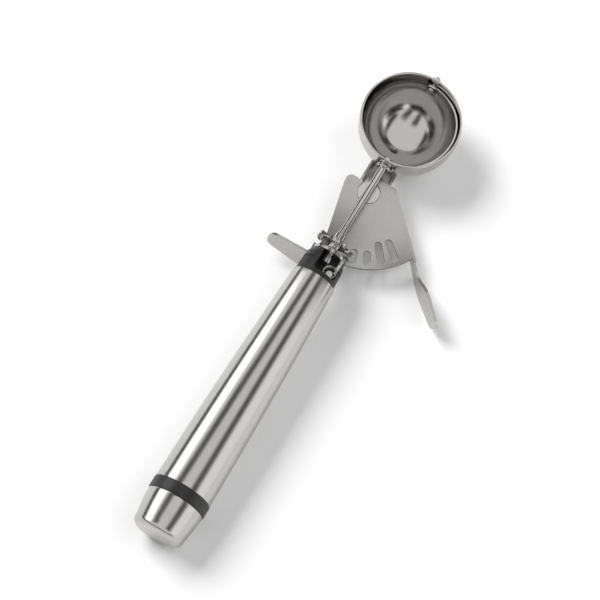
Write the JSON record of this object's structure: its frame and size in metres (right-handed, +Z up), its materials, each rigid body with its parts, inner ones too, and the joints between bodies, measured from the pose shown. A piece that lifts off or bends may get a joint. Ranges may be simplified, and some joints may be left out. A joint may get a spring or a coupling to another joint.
{
  "type": "lever ice cream scoop",
  "caption": "Hand scoop with a round bowl; a side lever swings a toothed shaft that sweeps a curved blade round the bowl to free the ball.",
  "frame": {"origin": "under the middle of the scoop's box as it lies on a table, on the table's surface", "axes": "+X along the scoop from the butt towards the bowl, +Y to the left of someone who holds the handle and looks at the bowl, +Z up out of the bowl's mouth"},
  "size_m": [0.226, 0.0784, 0.0288],
  "materials": {
    "bowl_steel": "mirror polished stainless steel",
    "blade_steel": "polished stainless strip",
    "turned_steel": "turned bright stainless steel",
    "wheel_steel": "tumbled bright stamped steel",
    "lever_steel": "satin polished sheet with bright cut edges",
    "frame_steel": "satin stamped sheet",
    "spring_wire": "drawn spring wire",
    "handle_steel": "satin, brushed round the tube",
    "cap_steel": "satin, brushed round the cap",
    "black_moulding": "semi-gloss moulded black plastic"
  },
  "bodies": {
    "root": {"bowl": "bowl_steel", "front_pivot_pin": "turned_steel", "shaft_bush": "turned_steel", "frame": "frame_steel", "pivot_rivet": "turned_steel", "pivot_washer": "turned_steel", "collar": "black_moulding", "return_spring": "spring_wire", "spring_post": "turned_steel", "handle_tube": "handle_steel", "front_plug": "black_moulding", "cross_pin": "turned_steel", "tie_rod": "turned_steel", "rod_washer": "turned_steel", "rod_nut": "turned_steel", "rear_ring": "black_moulding", "end_cap": "cap_steel"},
    "lever": {"lever_plate": "lever_steel"},
    "shaft": {"drive_shaft": "turned_steel", "shaft_end_nut": "turned_steel", "star_wheel": "wheel_steel", "wheel_hub": "turned_steel", "thrust_washer": "turned_steel", "scraper_blade": "blade_steel"}
  },
  "joints": [
    {"name": "lever_swing", "type": "hinge", "parent": "root", "child": "lever", "pos_m": [0.05674, 0.01324, 0.01185], "axis": [0.0459, 0.0713, -0.9964], "range_deg": [0, 45], "stiffness_Nm_per_rad": 0.12, "springref_deg": -20.05, "deforming": ["return_spring"]},
    {"name": "shaft_turn", "type": "hinge", "parent": "root", "child": "shaft", "pos_m": [0.08835, 0.01269, 0.02102], "axis": [0.9989, 0, 0.046], "range_deg": [0, 180]}
  ],
  "couplings": [
    {"joint": "shaft_turn", "follows": "lever_swing", "ratio": 4}
  ]
}
